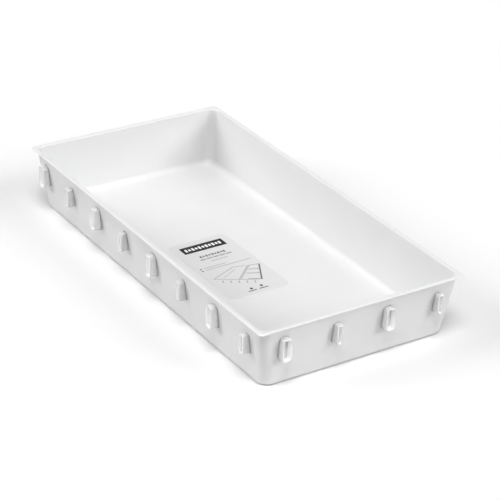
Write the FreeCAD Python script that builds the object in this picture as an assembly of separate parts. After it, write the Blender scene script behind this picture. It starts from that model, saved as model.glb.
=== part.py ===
import FreeCAD, Part
import math
import os

# Shallow open tray that stands in a drawer and links to trays of the same family.
# Frame: +X along the length, +Y across, +Z up, origin at the middle of the base.
# The front is the long side at -Y. Left, right and back follow from it. Millimetres and degrees.

# Grid that the trays of this family are sized on
module = 75.0
modules_long = 4
modules_wide = 2
clips_per_module = 2

# Tray
tray_height = 42.5
wall_thickness = 1.6
floor_thickness = 1.6
wall_draft = 7.6
wall_corner_radius = 8.0
base_fillet = 4.0
floor_fillet = 5.0

# Rim
rim_overhang = 1.5
rim_thickness = 1.0
rim_corner_radius = 2.0
rim_edge_fillet = 0.3
rim_inner_fillet = 0.7

# Clips: a hollow plug on one tray presses into a socket on the next
plug_width = 4.5
plug_height = 13.5
plug_wall = 1.1
plug_corner_radius = 1.3
socket_wall = 0.9
link_play = 0.2
clip_reach = 1.65
clip_drop = 7.2
clip_pocket_depth = 4.25
clip_edge_fillet = 0.25

# Label
label_length = 84.0
label_width = 45.0
label_thickness = 0.12
label_corner_radius = 4.0
label_x = 2.0
label_y = -6.0
label_turn = 0.8

# Worked out from the sizes above
tray_length = module * modules_long
tray_width = module * modules_wide
clip_pitch = module / clips_per_module
draft_slope = math.tan(math.radians(wall_draft))
level_wall = wall_thickness / math.cos(math.radians(wall_draft))
socket_width = plug_width + 2 * (link_play + socket_wall)
socket_height = plug_height + 2 * (link_play + socket_wall)
clip_middle = tray_height - clip_drop - socket_height / 2
clearance = 1.0     # how far a cutting solid runs past what it cuts


def rounded_outline(length, width, radius, z):
    """Closed wire of a rectangle with round corners, centred on the Z axis at height z."""
    x = length / 2
    y = width / 2
    edges = []
    for turn, (half_long, half_wide) in enumerate([(x, y), (y, x), (x, y), (y, x)]):
        away = half_long - radius
        side = half_wide - radius
        start = FreeCAD.Vector(half_long, -side, z)
        end = FreeCAD.Vector(half_long, side, z)
        middle = FreeCAD.Vector(away + radius * math.sqrt(0.5), side + radius * math.sqrt(0.5), z)
        corner_end = FreeCAD.Vector(away, half_wide, z)
        line = Part.LineSegment(start, end).toShape()
        arc = Part.Arc(end, middle, corner_end).toShape()
        for edge in (line, arc):
            edge.rotate(FreeCAD.Vector(0, 0, 0), FreeCAD.Vector(0, 0, 1), 90 * turn)
            edges.append(edge)
    return Part.Wire(edges)


def rounded_plate(length, width, radius, z, thickness):
    """Plate with round corners, from z up by its thickness."""
    face = Part.Face(rounded_outline(length, width, radius, z))
    return face.extrude(FreeCAD.Vector(0, 0, thickness))


def drafted_block(inset, radius, low, high):
    """Solid with flat drafted sides and round corners, set in level from the outer wall by inset."""
    edge_low = rim_overhang + (tray_height - low) * draft_slope + inset
    edge_high = rim_overhang + (tray_height - high) * draft_slope + inset
    x_low = tray_length / 2 - edge_low
    y_low = tray_width / 2 - edge_low
    x_high = tray_length / 2 - edge_high
    y_high = tray_width / 2 - edge_high
    block = Part.makeWedge(-x_low, low, -y_low, -y_high, -x_high, x_low, high, y_low, y_high, x_high)
    block.rotate(FreeCAD.Vector(0, 0, 0), FreeCAD.Vector(1, 0, 0), 90)
    corners = [edge for edge in block.Edges if edge.BoundBox.ZLength > (high - low) / 2]
    return block.makeFillet(radius, corners)


def edges_at(shape, z, inside=None):
    """Level edges of a shape at height z, all of them or those within a half length of the middle."""
    found = []
    for edge in shape.Edges:
        box = edge.BoundBox
        level = abs(box.ZMin - z) < 1e-4 and abs(box.ZMax - z) < 1e-4
        reach = max(abs(box.XMin), abs(box.XMax))
        if level and (inside is None or reach < inside):
            found.append(edge)
    return found


def tray_envelope():
    """Everything inside the outer wall, from the base to the top of the rim."""
    block = drafted_block(0, wall_corner_radius, 0, tray_height)
    return block.makeFillet(base_fillet, edges_at(block, 0))


def tray_hollow():
    """The space inside the tray, open past the top of the rim."""
    radius = wall_corner_radius - wall_thickness
    block = drafted_block(level_wall, radius, floor_thickness, tray_height + clearance)
    return block.makeFillet(floor_fillet, edges_at(block, floor_thickness))


def tray_shell(envelope):
    """Floor, walls and rim in one skin."""
    rim_low = tray_height - rim_thickness
    rim = rounded_plate(tray_length, tray_width, rim_corner_radius, rim_low, rim_thickness)
    rim = rim.makeFillet(rim_edge_fillet, edges_at(rim, rim_low) + edges_at(rim, tray_height))
    shell = envelope.fuse(rim).cut(tray_hollow()).removeSplitter()
    mouth = edges_at(shell, tray_height, tray_length / 2 - rim_overhang - wall_thickness / 2)
    return shell.makeFillet(rim_inner_fillet, mouth)


def clip_body(width, height, radius, wall, envelope, side_half, along, angle):
    """Clip on one wall: a pocket in its mouth, which faces out, and its root on the drafted wall."""
    depth = clip_reach + rim_overhang + tray_height * draft_slope + clearance
    outer = rounded_plate(height, width, radius, 0, depth)
    outer = outer.makeFillet(clip_edge_fillet, edges_at(outer, depth))
    hole_radius = max(radius - wall, wall / 2)
    bottom = depth - clip_pocket_depth
    hole = rounded_plate(height - 2 * wall, width - 2 * wall, hole_radius, bottom, clip_pocket_depth + clearance)
    clip = outer.cut(hole)
    clip.rotate(FreeCAD.Vector(0, 0, 0), FreeCAD.Vector(0, 1, 0), 90)
    clip.translate(FreeCAD.Vector(side_half + clip_reach - depth, along, clip_middle))
    clip.rotate(FreeCAD.Vector(0, 0, 0), FreeCAD.Vector(0, 0, 1), angle)
    return clip.cut(envelope)


def clips(envelope):
    """Sockets and plugs by turns round the tray, so that facing sides of two trays always match."""
    sides = [
        ("right", 0, tray_length / 2, modules_wide),
        ("back", 90, tray_width / 2, modules_long),
        ("left", 180, tray_length / 2, modules_wide),
        ("front", 270, tray_width / 2, modules_long),
    ]
    socket_radius = plug_corner_radius + link_play + socket_wall
    made = {}
    for side, angle, side_half, modules in sides:
        count = modules * clips_per_module
        for place in range(count):
            along = (place - (count - 1) / 2) * clip_pitch
            number = place // 2 + 1
            if place % 2 == 0:
                clip = clip_body(socket_width, socket_height, socket_radius, socket_wall,
                                 envelope, side_half, along, angle)
                made[f"{side}_socket_{number}"] = clip
            else:
                clip = clip_body(plug_width, plug_height, plug_corner_radius, plug_wall,
                                 envelope, side_half, along, angle)
                made[f"{side}_plug_{number}"] = clip
    return made


def product_label():
    """Thin film stuck to the floor of the tray."""
    film = rounded_plate(label_length, label_width, label_corner_radius, floor_thickness, label_thickness)
    film.rotate(FreeCAD.Vector(0, 0, 0), FreeCAD.Vector(0, 0, 1), label_turn)
    film.translate(FreeCAD.Vector(label_x, label_y, 0))
    return film


def main():
    os.makedirs("parts", exist_ok=True)
    envelope = tray_envelope()
    nodes = {"tray_shell": tray_shell(envelope), "label": product_label()}
    nodes.update(clips(envelope))
    for name, shape in nodes.items():
        solids = shape.Solids
        print(name, len(solids), round(shape.Volume, 2), shape.isValid())
        shape = solids[0] if len(solids) == 1 else shape
        shape.exportStep(f"parts/{name}.step")


main()
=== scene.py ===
import bpy
import bmesh
import math
from mathutils import Matrix, Vector


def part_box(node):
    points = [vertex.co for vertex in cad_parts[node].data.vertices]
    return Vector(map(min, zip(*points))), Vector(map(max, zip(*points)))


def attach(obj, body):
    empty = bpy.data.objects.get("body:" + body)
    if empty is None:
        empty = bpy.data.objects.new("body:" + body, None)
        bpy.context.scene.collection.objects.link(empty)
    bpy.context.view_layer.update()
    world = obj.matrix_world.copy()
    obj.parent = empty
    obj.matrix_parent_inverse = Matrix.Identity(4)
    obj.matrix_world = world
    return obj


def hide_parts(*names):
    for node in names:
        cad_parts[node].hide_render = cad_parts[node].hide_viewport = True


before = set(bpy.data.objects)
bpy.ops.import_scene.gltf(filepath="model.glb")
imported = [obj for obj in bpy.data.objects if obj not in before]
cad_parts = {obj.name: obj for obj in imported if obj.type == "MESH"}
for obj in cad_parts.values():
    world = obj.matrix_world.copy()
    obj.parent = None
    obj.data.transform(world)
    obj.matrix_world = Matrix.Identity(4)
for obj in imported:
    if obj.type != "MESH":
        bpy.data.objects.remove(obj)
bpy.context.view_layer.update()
mm = 0.001
print("frame loaded:", len(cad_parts), "nodes")


def toLinear(hexColour):  # sRGB hex to the linear colour the shaders use
    parts = [int(hexColour[i:i + 2], 16) / 255 for i in (1, 3, 5)]
    return [p / 12.92 if p <= 0.04045 else ((p + 0.055) / 1.055) ** 2.4 for p in parts] + [1.0]


def addNode(tree, kind, links=None, **settings):  # sockets by name or number, the rest as attributes
    node = tree.nodes.new(kind)
    for key, value in settings.items():
        if hasattr(node, key):
            setattr(node, key, value)
    for key, value in (links or {}).items():
        socket = node.inputs[key]
        if isinstance(value, bpy.types.NodeSocket):
            tree.links.new(value, socket)
        else:
            socket.default_value = value
    return node


def newMaterial(name):
    material = bpy.data.materials.new(name)
    material.use_nodes = True
    tree = material.node_tree
    tree.nodes.clear()
    shader = addNode(tree, "ShaderNodeBsdfPrincipled")
    addNode(tree, "ShaderNodeOutputMaterial", {"Surface": shader.outputs["BSDF"]})
    return material, tree, shader


polypropylene = {
    "colour": "#dbdbdb",
    "cloudColour": "#d6d6d7",
    "cloudSize": 28 * mm,      # slow change of shade where the melt cooled unevenly
    "roughness": 0.42,
    "glossSwing": 0.06,
    "ior": 1.49,
    "grainSize": 0.9 * mm,     # spark-eroded grain is nearer 0.1 mm, drawn coarser so that it shows
    "grainDepth": 0.012 * mm,
    "waveSize": 9 * mm,        # gentle unevenness of a large thin wall
    "waveDepth": 0.03 * mm,
    "scuffSize": 0.35 * mm,
    "scuffLength": 9 * mm,
    "scuffTurn": math.radians(18),
    "scuffRange": (0.62, 0.78),    # only the peaks of the streaks show
    "translucency": 0.4,
    "lightPath": 2 * mm,       # how far light wanders in the unpigmented plastic
}
# outside of the shell: rougher grain, and a darker colour that is painted shade so the outer walls look
# less lit than the inside
grainedShadedPolypropylene = dict(polypropylene, colour="#d3d3d3", cloudColour="#cecece", roughness=0.5)
# clips: truly translucent, with a darker colour that is painted shade for their shaded flanks
thinShadedPolypropylene = dict(polypropylene, colour="#c6c6c6", cloudColour="#c2c2c3",
                         translucency=1.0, lightPath=4 * mm)
# inside a clip's pocket: a much paler colour that is painted light, standing for the glow that shines
# through the thin arms
pocketGlowPolypropylene = dict(thinShadedPolypropylene, colour="#ededed", cloudColour="#eaeaeb")


def mouldedPolypropylene(name, spec):
    # natural-white polypropylene from the mould: milky, waxy sheen, soft edge glow, faint handling scuffs
    material, tree, shader = newMaterial(name)
    place = addNode(tree, "ShaderNodeTexCoord").outputs["Object"]
    cloud = addNode(tree, "ShaderNodeTexNoise", {"Vector": place,
        "Scale": 1 / spec["cloudSize"], "Detail": 3.0})
    tint = addNode(tree, "ShaderNodeMix", {"Factor": cloud.outputs["Fac"]}, data_type="RGBA")
    tint.inputs[6].default_value = toLinear(spec["colour"])
    tint.inputs[7].default_value = toLinear(spec["cloudColour"])
    stretch = addNode(tree, "ShaderNodeMapping", {"Vector": place,
        "Rotation": (0.0, 0.0, spec["scuffTurn"]),
        "Scale": (1 / spec["scuffLength"], 1 / spec["scuffSize"], 1 / spec["scuffLength"])})
    scuff = addNode(tree, "ShaderNodeTexNoise", {"Vector": stretch.outputs[0], "Scale": 1.0, "Detail": 2.0})
    scuffMask = addNode(tree, "ShaderNodeMapRange", {"Value": scuff.outputs["Fac"],
        "From Min": spec["scuffRange"][0], "From Max": spec["scuffRange"][1],
        "To Min": 0.0, "To Max": spec["glossSwing"]})
    gloss = addNode(tree, "ShaderNodeMapRange", {"Value": cloud.outputs["Fac"],
        "To Min": spec["roughness"] - spec["glossSwing"], "To Max": spec["roughness"] + spec["glossSwing"]})
    rough = addNode(tree, "ShaderNodeMath", {0: gloss.outputs[0], 1: scuffMask.outputs[0]}, operation="ADD")
    grain = addNode(tree, "ShaderNodeTexNoise", {"Vector": place,
        "Scale": 1 / spec["grainSize"], "Detail": 2.0})
    wave = addNode(tree, "ShaderNodeTexNoise", {"Vector": place,
        "Scale": 1 / spec["waveSize"], "Detail": 1.0})
    waveBump = addNode(tree, "ShaderNodeBump", {"Height": wave.outputs["Fac"],
        "Strength": 1.0, "Distance": spec["waveDepth"]})
    bump = addNode(tree, "ShaderNodeBump", {"Height": grain.outputs["Fac"], "Strength": 1.0,
        "Distance": spec["grainDepth"], "Normal": waveBump.outputs[0]})
    tree.links.new(tint.outputs[2], shader.inputs["Base Color"])
    tree.links.new(rough.outputs[0], shader.inputs["Roughness"])
    tree.links.new(bump.outputs[0], shader.inputs["Normal"])
    shader.inputs["IOR"].default_value = spec["ior"]
    shader.inputs["Subsurface Weight"].default_value = spec["translucency"]
    shader.inputs["Subsurface Radius"].default_value = (1.0, 1.0, 1.0)
    shader.inputs["Subsurface Scale"].default_value = spec["lightPath"]
    return material


plasticWalls = mouldedPolypropylene("injection-moulded polypropylene, satin", polypropylene)
plasticOutsideGrainedAndShaded = mouldedPolypropylene("injection-moulded polypropylene, grained outside",
                                      grainedShadedPolypropylene)
plasticClipsPaintedShade = mouldedPolypropylene("injection-moulded polypropylene, thin and milky", thinShadedPolypropylene)
plasticPocketsPaintedGlow = mouldedPolypropylene("injection-moulded polypropylene, pale inside a clip",
                                      pocketGlowPolypropylene)
print("plastic made")


def meshPiece(name, points, faces, material):
    mesh = bpy.data.meshes.new(name)
    mesh.from_pydata(points, [], faces)
    work = bmesh.new()
    work.from_mesh(mesh)
    bmesh.ops.recalc_face_normals(work, faces=work.faces)
    work.to_mesh(mesh)
    work.free()
    mesh.materials.append(material)
    for face in mesh.polygons:
        face.use_smooth = True
    piece = bpy.data.objects.new(name, mesh)
    bpy.context.scene.collection.objects.link(piece)
    normals = piece.modifiers.new("even shading", "WEIGHTED_NORMAL")
    normals.keep_sharp = True
    normals.weight = 80
    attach(piece, "root")
    return piece


def ringFaces(ringCount, ringSize, first=0):  # quads between rings of points, each ring closed
    faces = []
    for ring in range(ringCount - 1):
        for step in range(ringSize):
            after = (step + 1) % ringSize
            a = first + ring * ringSize
            b = a + ringSize
            faces.append((a + step, a + after, b + after, b + step))
    return faces


# points of the arc that rounds one corner of an outline
def roundCorner(before, corner, after, radius, steps):
    inward = (before - corner).normalized()
    outward = (after - corner).normalized()
    half = inward.angle(outward) / 2
    run = radius / math.tan(half)
    centre = corner + (inward + outward).normalized() * radius / math.sin(half)
    start = corner + inward * run - centre
    end = corner + outward * run - centre
    sweep = math.pi - 2 * half
    points = []
    for step in range(steps + 1):
        t = step / steps
        blend = start * math.sin((1 - t) * sweep) + end * math.sin(t * sweep)
        points.append(centre + blend / math.sin(sweep))
    return points


# rectangle with round corners, anticlockwise
def planOutline(halfX, halfY, radius, cornerSteps, sideStepsX, sideStepsY):
    outline = []
    for turn in range(4):
        away, side = (halfX, halfY) if turn % 2 == 0 else (halfY, halfX)
        steps = sideStepsY if turn % 2 == 0 else sideStepsX
        straight = side - radius
        spin = Matrix.Rotation(math.pi / 2 * turn, 2)
        for step in range(steps):
            outline.append(spin @ Vector((away, -straight + 2 * straight * step / steps)))
        for step in range(cornerSteps):
            angle = math.pi / 2 * step / cornerSteps
            outline.append(spin @ Vector((away - radius + radius * math.cos(angle),
                                          straight + radius * math.sin(angle))))
    return outline


shell = {
    "wall": 1.6 * mm,
    "floor": 1.6 * mm,
    "draft": math.radians(7.6),
    "rimOverhang": 1.5 * mm,
    "rimThickness": 1.0 * mm,
    "rimCorner": 2.0 * mm,
    "wallCorner": 8.0 * mm,
    "baseRadius": 4.0 * mm,
    "floorRadius": 5.0 * mm,
    "rimEdgeRadius": 0.3 * mm,
    "lipRadius": 0.7 * mm,
    "rimRootRadius": 0.5 * mm,
    "largeRadius": 2 * mm,     # rounding above this gets the bend's steps, below it the edge's
    "bendSteps": 10,
    "edgeSteps": 5,
    "flatStart": 0.3,          # the flat floor and base begin this share of the half width in
    "flatCorner": 1.2 * mm,
    "cornerSteps": 12,
    "longSteps": 48,
    "shortSteps": 24,
}
shellLow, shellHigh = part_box("tray_shell")
rimHalf = (shellHigh - shellLow) / 2
rimTop = shellHigh.z


def outerInset(z):  # how far the outer wall stands in from the rim's edge
    return shell["rimOverhang"] + (rimTop - z) * math.tan(shell["draft"])


def makeShell():
    levelWall = shell["wall"] / math.cos(shell["draft"])
    underRim = rimTop - shell["rimThickness"]
    innerCorner = shell["wallCorner"] - shell["wall"]
    deep = rimHalf.y * shell["flatStart"]
    corners = [  # distance in from the rim's edge, height, rounding radius, plan corner radius
        (deep, shell["floor"], 0, shell["flatCorner"]),
        (outerInset(shell["floor"]) + levelWall, shell["floor"], shell["floorRadius"], innerCorner),
        (outerInset(rimTop) + levelWall, rimTop, shell["lipRadius"], innerCorner),
        (0, rimTop, shell["rimEdgeRadius"], shell["rimCorner"]),
        (0, underRim, shell["rimEdgeRadius"], shell["rimCorner"]),
        (outerInset(underRim), underRim, shell["rimRootRadius"], shell["wallCorner"]),
        (outerInset(0), 0, shell["baseRadius"], shell["wallCorner"]),
        (deep, 0, 0, shell["flatCorner"]),
    ]
    profile = []
    for i, (inset, z, radius, planRadius) in enumerate(corners):
        here = Vector((inset, z))
        if z == underRim and inset > 0:
            outsideStart = len(profile)    # from the root of the rim down, the moulding is grained and painted darker as shade
        if radius == 0:
            profile.append((here, planRadius))
            continue
        before = Vector(corners[i - 1][:2])
        after = Vector(corners[i + 1][:2])
        large = radius > shell["largeRadius"]
        for point in roundCorner(before, here, after, radius, shell["bendSteps" if large else "edgeSteps"]):
            shrink = max(0.0, point.x - inset) if large else 0.0
            profile.append((point, planRadius - shrink))
    points = []
    for (inset, z), planRadius in profile:
        for spot in planOutline(rimHalf.x - inset, rimHalf.y - inset, planRadius,
                                shell["cornerSteps"], shell["longSteps"], shell["shortSteps"]):
            points.append((spot.x, spot.y, z))
    size = len(points) // len(profile)
    faces = ringFaces(len(profile), size)
    faces.append(tuple(range(size)))
    faces.append(tuple(range(len(points) - size, len(points))))
    piece = meshPiece("trayShellMoulding", points, faces, plasticWalls)
    # the outside faces take the darker colour, which is painted shade
    piece.data.materials.append(plasticOutsideGrainedAndShaded)
    for face in piece.data.polygons:
        if outsideStart * size <= face.index != len(faces) - 2:    # all but the inner floor
            face.material_index = 1
    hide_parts("tray_shell")


makeShell()
print("shell made")

clip = {
    "socketWall": 0.9 * mm,
    "plugWall": 1.1 * mm,
    "cornerRadius": {"socket": 2.4 * mm, "plug": 1.3 * mm},
    "rootRadius": 0.45 * mm,
    "frontRadius": 0.28 * mm,
    "pocketRadius": 0.3 * mm,
    "sink": 0.25 * mm,         # the root runs this far into the wall
    "pocketDepth": 4.2 * mm,
    "leastCorner": 0.35 * mm,  # the smallest corner an inner outline may shrink to
    "cornerSteps": 7,
    "sideSteps": 3,
    "rootSteps": 5,
    "edgeSteps": 4,
}
outward = {"right": (1, 0), "back": (0, 1), "left": (-1, 0), "front": (0, -1)}


def quarter(fromPoint, toPoint, centre, steps):  # quarter-circle run between two points about a centre
    runs = []
    for step in range(steps + 1):
        t = math.pi / 2 * step / steps
        runs.append(centre + (fromPoint - centre) * math.cos(t) + (toPoint - centre) * math.sin(t))
    return runs


def makeClip(node):
    side, kind, number = node.split("_")
    low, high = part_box(node)
    middle = (low + high) / 2
    away = Vector((*outward[side], 0))
    along = Vector((0, 0, 1)).cross(away)
    halfWidth = abs((high - low).dot(along)) / 2
    halfHeight = (high.z - low.z) / 2
    rimEdge = rimHalf.x if side in ("right", "left") else rimHalf.y
    front = max(abs(low.dot(away)), abs(high.dot(away)))
    wall = clip[kind + "Wall"]
    root, lip, pocket = clip["rootRadius"], clip["frontRadius"], clip["pocketRadius"]
    radius = clip["cornerRadius"][kind]
    outline = [(root, "wall", -clip["sink"])]
    for p in quarter(Vector((root, 0)), Vector((0, root)), Vector((root, root)), clip["rootSteps"]):
        outline.append((p.x, "wall", p.y))
    for p in quarter(Vector((0, -lip)), Vector((-lip, 0)), Vector((-lip, -lip)), clip["edgeSteps"]):
        outline.append((p.x, "front", p.y))
    for p in quarter(Vector((lip - wall, 0)), Vector((-wall, -lip)),
                     Vector((lip - wall, -lip)), clip["edgeSteps"]):
        outline.append((p.x, "front", p.y))
    back = -clip["pocketDepth"]
    pocketRing = len(outline) - 1
    for p in quarter(Vector((-wall, back + pocket)), Vector((-wall - pocket, back)),
                     Vector((-wall - pocket, back + pocket)), clip["edgeSteps"]):
        outline.append((p.x, "front", p.y))
    points = []
    for grow, datum, depth in outline:
        ring = planOutline(halfWidth + grow, halfHeight + grow, max(radius + grow, clip["leastCorner"]),
                           clip["cornerSteps"], clip["sideSteps"], clip["sideSteps"])
        for spot in ring:
            z = middle.z + spot.y
            reach = depth + (front if datum == "front" else rimEdge - outerInset(z))
            centreLine = along * middle.dot(along)
            points.append(centreLine + along * spot.x + away * reach + Vector((0, 0, z)))
    size = len(points) // len(outline)
    faces = ringFaces(len(outline), size)
    faces.append(tuple(range(size)))
    faces.append(tuple(range(len(points) - size, len(points))))
    # the clip body takes the darker colour, which is painted shade
    piece = meshPiece(side + kind.capitalize() + number, points, faces, plasticClipsPaintedShade)
    # the pocket faces take the paler colour, which is painted light
    piece.data.materials.append(plasticPocketsPaintedGlow)
    for face in piece.data.polygons:
        if pocketRing * size <= face.index != len(faces) - 2:    # all but the cap at the root
            face.material_index = 1
    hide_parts(node)


clipNodes = [name for name in sorted(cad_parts) if "_socket_" in name or "_plug_" in name]
for clipNode in clipNodes:
    makeClip(clipNode)
print("clips made:", len(clipNodes))

film = {
    "colour": "#d3d3d3",
    "hazeColour": "#cfcfcf",
    "hazeSize": 7 * mm,
    "roughness": 0.34,
    "glossSwing": 0.05,
    "ior": 1.5,
    "rippleSize": 5 * mm,      # the film follows small bubbles of trapped air
    "rippleDepth": 0.02 * mm,
    "cornerRadius": 4.5 * mm,
    "edgeSlope": 0.35 * mm,    # the stamped edge thins out and lies flush
    "edgeHeight": 0.02 * mm,
    "shoulder": 0.4,           # share of the slope at which the edge is nearly full height
    "shoulderDrop": 0.03 * mm,
    "length": 84 * mm,
    "width": 45 * mm,
    "turn": math.radians(0.8),     # stuck down a little askew
    "cornerSteps": 10,
    "longSteps": 12,
    "shortSteps": 20,
}
filmLow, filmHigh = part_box("label")
filmMiddle = (filmLow + filmHigh) / 2
askew = Matrix.Rotation(film["turn"], 2)


def onLabel(across, up, z):  # a point of the print: across is the reading direction, up is towards the band
    spot = askew @ Vector((-up, across))
    return filmMiddle.x + spot.x, filmMiddle.y + spot.y, z


def labelFilmMaterial(spec):
    # frosted polyester label film: a thin greyish haze over the white plastic, a little glossier than it
    material, tree, shader = newMaterial("frosted polyester label film")
    place = addNode(tree, "ShaderNodeTexCoord").outputs["Object"]
    haze = addNode(tree, "ShaderNodeTexNoise", {"Vector": place,
        "Scale": 1 / spec["hazeSize"], "Detail": 4.0})
    tint = addNode(tree, "ShaderNodeMix", {"Factor": haze.outputs["Fac"]}, data_type="RGBA")
    tint.inputs[6].default_value = toLinear(spec["colour"])
    tint.inputs[7].default_value = toLinear(spec["hazeColour"])
    gloss = addNode(tree, "ShaderNodeMapRange", {"Value": haze.outputs["Fac"],
        "To Min": spec["roughness"] - spec["glossSwing"], "To Max": spec["roughness"] + spec["glossSwing"]})
    bubbles = addNode(tree, "ShaderNodeTexNoise", {"Vector": place,
        "Scale": 1 / spec["rippleSize"], "Detail": 1.0})
    ripple = addNode(tree, "ShaderNodeBump", {"Height": bubbles.outputs["Fac"], "Strength": 1.0,
        "Distance": spec["rippleDepth"]})
    tree.links.new(tint.outputs[2], shader.inputs["Base Color"])
    tree.links.new(gloss.outputs[0], shader.inputs["Roughness"])
    tree.links.new(ripple.outputs[0], shader.inputs["Normal"])
    shader.inputs["IOR"].default_value = spec["ior"]
    return material


def makeFilm():
    points = []
    rings = [
        (0, filmLow.z),
        (0, filmLow.z + film["edgeHeight"]),
        (film["edgeSlope"] * film["shoulder"], filmHigh.z - film["shoulderDrop"]),
        (film["edgeSlope"], filmHigh.z),
    ]
    for inset, z in rings:
        for spot in planOutline(film["length"] / 2 - inset, film["width"] / 2 - inset,
                                film["cornerRadius"] - inset,
                                film["cornerSteps"], film["shortSteps"], film["longSteps"]):
            points.append(onLabel(spot.y, spot.x, z))
    size = len(points) // len(rings)
    faces = ringFaces(len(rings), size)
    faces.append(tuple(range(size)))
    faces.append(tuple(range(len(points) - size, len(points))))
    piece = meshPiece("labelFilm", points, faces, labelFilmMaterial(film))
    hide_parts("label")


makeFilm()

ink = {
    "thickness": 0.02 * mm,
    "sink": 0.01 * mm,         # the print keys into the film
    "roughness": 0.5,
    "glossSwing": 0.08,
    "ior": 1.5,
    "mottleSize": 1.2 * mm,    # screen-printed ink lies unevenly
    "black": ("#121213", "#1b1b1c"),
    "darkGrey": ("#5c5c5d", "#666667"),
    "midGrey": ("#8e8e8f", "#969697"),
    "paleGrey": ("#b0b0b1", "#b7b7b8"),
    "white": ("#f2f2f2", "#ececec"),
}


def screenInk(shade):
    # screen-printed ink: a thin matt coat, slightly mottled where the mesh left more or less of it
    material, tree, shader = newMaterial("screen-printed ink, " + shade)
    place = addNode(tree, "ShaderNodeTexCoord").outputs["Object"]
    mottle = addNode(tree, "ShaderNodeTexNoise", {"Vector": place,
        "Scale": 1 / ink["mottleSize"], "Detail": 3.0})
    tint = addNode(tree, "ShaderNodeMix", {"Factor": mottle.outputs["Fac"]}, data_type="RGBA")
    tint.inputs[6].default_value = toLinear(ink[shade][0])
    tint.inputs[7].default_value = toLinear(ink[shade][1])
    gloss = addNode(tree, "ShaderNodeMapRange", {"Value": mottle.outputs["Fac"],
        "To Min": ink["roughness"] - ink["glossSwing"], "To Max": ink["roughness"] + ink["glossSwing"]})
    tree.links.new(tint.outputs[2], shader.inputs["Base Color"])
    tree.links.new(gloss.outputs[0], shader.inputs["Roughness"])
    shader.inputs["IOR"].default_value = ink["ior"]
    return material


def strokeOutline(points, width):  # both sides of an open line of points, mitred at its corners
    line = [Vector(p) for p in points]
    left, right = [], []
    for i, spot in enumerate(line):
        before = (spot - line[i - 1]).normalized() if i else (line[1] - spot).normalized()
        after = (line[i + 1] - spot).normalized() if i + 1 < len(line) else before
        mitre = (before + after).normalized()
        normal = Vector((-mitre.y, mitre.x))
        reach = width / 2 / max(0.5, mitre.dot(before))
        left.append(spot + normal * reach)
        right.append(spot - normal * reach)
    return left + right[::-1]


def barOutline(left, low, right, high):
    return [(left, low), (right, low), (right, high), (left, high)]


def dotOutline(across, up, width, height, steps=16):
    return [(across + width / 2 * math.cos(2 * math.pi * i / steps),
             up + height / 2 * math.sin(2 * math.pi * i / steps)) for i in range(steps)]


def makePrint(name, outlines, shade, layer=0):  # flat prisms of ink on the film, one for each outline
    points, faces = [], []
    base = filmHigh.z + layer * ink["thickness"]
    for outline in outlines:
        first = len(points)
        for z in (base - ink["sink"], base + ink["thickness"]):
            points.extend(onLabel(across * mm, up * mm, z) for across, up in outline)
        size = len(outline)
        faces.extend(ringFaces(2, size, first))
        faces.append(tuple(range(first, first + size)))
        faces.append(tuple(range(first + size, first + 2 * size)))
    return meshPiece(name, points, faces, inks[shade])


inks = {shade: screenInk(shade) for shade in ("black", "darkGrey", "midGrey", "paleGrey", "white")}

layout = {                     # millimetres from the middle of the label: across, up
    "band": (-16.5, 27.0, 16.5, 36.0),
    "bandBlocks": {"from": -14.2, "to": 13.8, "low": 29.6, "high": 33.2,
                   "count": 11, "gap": 1.0, "step": 0.5},
    "heading": {"from": -10.0, "to": 9.6, "low": 17.9, "high": 20.4,
                "count": 9, "gap": 0.8, "step": 0.4},
    "subheading": {"from": -12.0, "to": 12.4, "low": 14.5, "high": 15.9,
                   "count": 5, "gap": 0.6, "step": 0.0},
    "tagline": [(-6.0, 10.6, 7.0, 11.8)],
    "notes": [(-16.0, 3.6, 1.0, 4.7), (-16.0, 0.9, 19.0, 2.0)],
    "bullets": [(-18.5, 4.1), (-18.5, 1.4)],
    "trayOutline": [(10.0, -5.5), (1.5, -3.5), (-18.0, -11.5), (-2.0, -21.0), (5.0, -25.0), (10.0, -26.2)],
    "innerEdge": [(1.0, -7.0), (-11.0, -13.0)],
    "divider": [(12.0, -6.5), (-3.0, -20.0)],
    "dividerGap": 1.0,
    "boxEdge": [(12.0, -6.5), (19.5, -8.0)],
    "boxSide": [(19.5, -8.0), (9.5, -27.0)],
    "crossBars": [[(9.0, -11.0), (16.5, -14.0)], [(5.0, -15.0), (13.0, -19.0)],
                  [(2.0, -22.0), (9.0, -26.0)]],
    "clipMarks": {"first": (-14.0, -16.0), "last": (4.5, -26.5), "count": 5, "stroke": (-1.2, -2.6)},
    "dots": [(-3.5, -34.4), (4.5, -34.0)],
    "captions": [(-7.2, -37.6, -1.0, -36.6), (1.2, -37.6, 7.8, -36.6)],
    "lineWidth": {"outline": 0.55, "divider": 0.5, "crossBar": 0.8,
                  "clipMark": 0.7, "inner": 0.6, "side": 1.0},
    "dotSize": (2.0, 2.2),
    "bulletSize": (1.2, 1.4),
}


def blockRow(row):  # a row of plain blocks, every other one shorter, where words would stand
    pitch = (row["to"] - row["from"] + row["gap"]) / row["count"]
    blocks = []
    for i in range(row["count"]):
        left = row["from"] + i * pitch
        shorter = row["step"] * (i % 2)
        right = left + pitch - row["gap"]
        blocks.append(barOutline(left, row["low"] + shorter, right, row["high"] - shorter))
    return blocks


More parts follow.
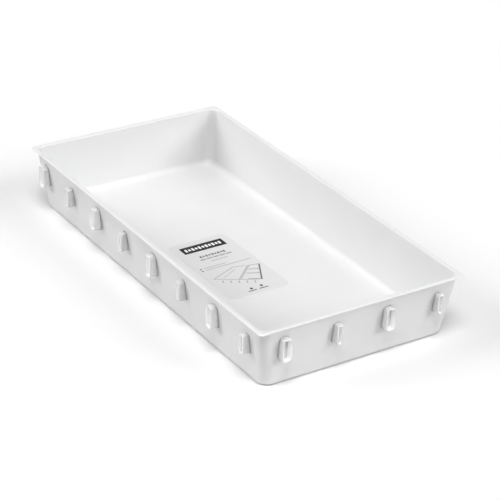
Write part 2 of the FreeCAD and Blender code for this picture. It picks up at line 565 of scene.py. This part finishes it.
def makeLabelPrint():
    makePrint("labelBand", [barOutline(*layout["band"])], "black")
    makePrint("labelBandBlocks", blockRow(layout["bandBlocks"]), "white", 1)
    makePrint("labelHeading", blockRow(layout["heading"]), "darkGrey")
    makePrint("labelSubheading", blockRow(layout["subheading"]), "midGrey")
    makePrint("labelNotes", [barOutline(*bar) for bar in layout["tagline"] + layout["notes"]], "paleGrey")
    width = layout["lineWidth"]
    marks = layout["clipMarks"]
    first, last = Vector(marks["first"]), Vector(marks["last"])
    strokes = []
    for i in range(marks["count"]):
        start = first.lerp(last, i / (marks["count"] - 1))
        strokes.append(strokeOutline([start, start + Vector(marks["stroke"])], width["clipMark"]))
    start, end = (Vector(p) for p in layout["divider"])
    aside = Vector((end - start).orthogonal()).normalized() * layout["dividerGap"] / 2
    thin = [strokeOutline(layout[line], width["outline"]) for line in ("trayOutline", "boxEdge")]
    thin += [strokeOutline([start + aside * way, end + aside * way], width["divider"]) for way in (-1, 1)]
    thin += [strokeOutline(bar, width["crossBar"]) for bar in layout["crossBars"]]
    makePrint("labelTrayDrawing", thin + strokes, "midGrey")
    makePrint("labelTrayShading", [strokeOutline(layout["innerEdge"], width["inner"])], "paleGrey")
    makePrint("labelTraySide", [strokeOutline(layout["boxSide"], width["side"])], "darkGrey")
    makePrint("labelDots", [dotOutline(*spot, *layout["dotSize"]) for spot in layout["dots"]]
              + [dotOutline(*spot, *layout["bulletSize"]) for spot in layout["bullets"]], "black")
    makePrint("labelCaptions", [barOutline(*bar) for bar in layout["captions"]], "darkGrey")


makeLabelPrint()
print("label made")

paper = {
    "colour": "#dedede",
    "glow": 0.05,              # a little of its own light keeps the ground near white
    "roughness": 0.9,
    "size": 8.0,
    "backdropRadius": 3.9,
    "backdropHeight": 3.0,
    "backdropSteps": 64,
}


def backingPaper(name, glow):  # matt white paper with no sheen
    material, tree, shader = newMaterial(name)
    shader.inputs["Base Color"].default_value = toLinear(paper["colour"])
    shader.inputs["Roughness"].default_value = paper["roughness"]
    shader.inputs["Specular IOR Level"].default_value = 0.0
    shader.inputs["Emission Color"].default_value = toLinear("#ffffff")
    shader.inputs["Emission Strength"].default_value = glow
    return material


def makeFloor():
    bpy.ops.mesh.primitive_plane_add(size=paper["size"], location=(0, 0, 0))
    floor = bpy.context.object
    floor.name = "studioFloor"
    floor.data.materials.append(backingPaper("matt white backing paper", paper["glow"]))


def makeBackdrop():  # a pale wall far behind for low views: seen, but it neither blocks nor bounces light
    points = []
    for z in (0.0, paper["backdropHeight"]):
        for step in range(paper["backdropSteps"]):
            angle = 2 * math.pi * step / paper["backdropSteps"]
            radius = paper["backdropRadius"]
            points.append((radius * math.cos(angle), radius * math.sin(angle), z))
    mesh = bpy.data.meshes.new("studioBackdrop")
    mesh.from_pydata(points, [], ringFaces(2, paper["backdropSteps"]))
    mesh.materials.append(backingPaper("lit white backdrop", 1.0))
    backdrop = bpy.data.objects.new("studioBackdrop", mesh)
    bpy.context.scene.collection.objects.link(backdrop)
    backdrop.visible_shadow = False
    backdrop.visible_diffuse = False
    backdrop.visible_glossy = False


makeFloor()
makeBackdrop()

studio = {
    "key": 2.5,                    # strength of the overhead softbox, the others are shares of it
    "softness": math.radians(32),  # how wide each softbox looks from the tray
    "world": 0.0,                  # no light comes from the room itself
}
# a high key on the viewer's side and a fill to either hand, so the near corner stays a little darker
lights = [
    {"name": "overheadKey", "azimuth": 55, "elevation": 65, "share": 1.0},
    {"name": "leftFill", "azimuth": -30, "elevation": 30, "share": 0.75},
    {"name": "rightRearFill", "azimuth": 125, "elevation": 30, "share": 0.75},
]


def aimFrom(azimuth, elevation):  # unit vector from the tray towards that direction, 0 being the front
    a, e = math.radians(azimuth), math.radians(elevation)
    return Vector((math.sin(a) * math.cos(e), -math.cos(a) * math.cos(e), math.sin(e)))


def makeLights():
    for spec in lights:
        data = bpy.data.lights.new(spec["name"], "SUN")
        data.angle = studio["softness"]
        data.energy = studio["key"] * spec["share"]
        light = bpy.data.objects.new(spec["name"], data)
        towards = aimFrom(spec["azimuth"], spec["elevation"])
        light.location = towards
        light.rotation_mode = "QUATERNION"
        light.rotation_quaternion = towards.to_track_quat("Z", "Y")
        bpy.context.scene.collection.objects.link(light)
    world = bpy.data.worlds.new("studio")
    world.use_nodes = True
    world.node_tree.nodes["Background"].inputs["Color"].default_value = toLinear("#ffffff")
    world.node_tree.nodes["Background"].inputs["Strength"].default_value = studio["world"]
    bpy.context.scene.world = world


makeLights()

view = {
    "azimuth": 57.30,
    "elevation": 27.70,
    "roll": 1.568,
    "distance": 1.300,
    "aim": (0.00176, 0.01135, 0.00886),
    "lens": 140.2,
    "sensor": 36,
}


def makeCamera():
    data = bpy.data.cameras.new("camera")
    data.sensor_width = view["sensor"]
    data.lens = view["lens"]
    data.clip_start = 0.05
    data.clip_end = 20
    camera = bpy.data.objects.new("camera", data)
    back = aimFrom(view["azimuth"], view["elevation"])
    right = Vector((0, 0, 1)).cross(back).normalized()
    up = back.cross(right)
    roll = math.radians(view["roll"])
    levelRight = right * math.cos(roll) + up * math.sin(roll)
    levelUp = up * math.cos(roll) - right * math.sin(roll)
    turn = Matrix((levelRight, levelUp, back)).transposed()
    camera.matrix_world = Matrix.Translation(Vector(view["aim"]) + back * view["distance"]) @ turn.to_4x4()
    bpy.context.scene.collection.objects.link(camera)
    bpy.context.scene.camera = camera


makeCamera()
bpy.context.scene.view_settings.view_transform = "Standard"
print("studio made")

bpy.context.view_layer.update()
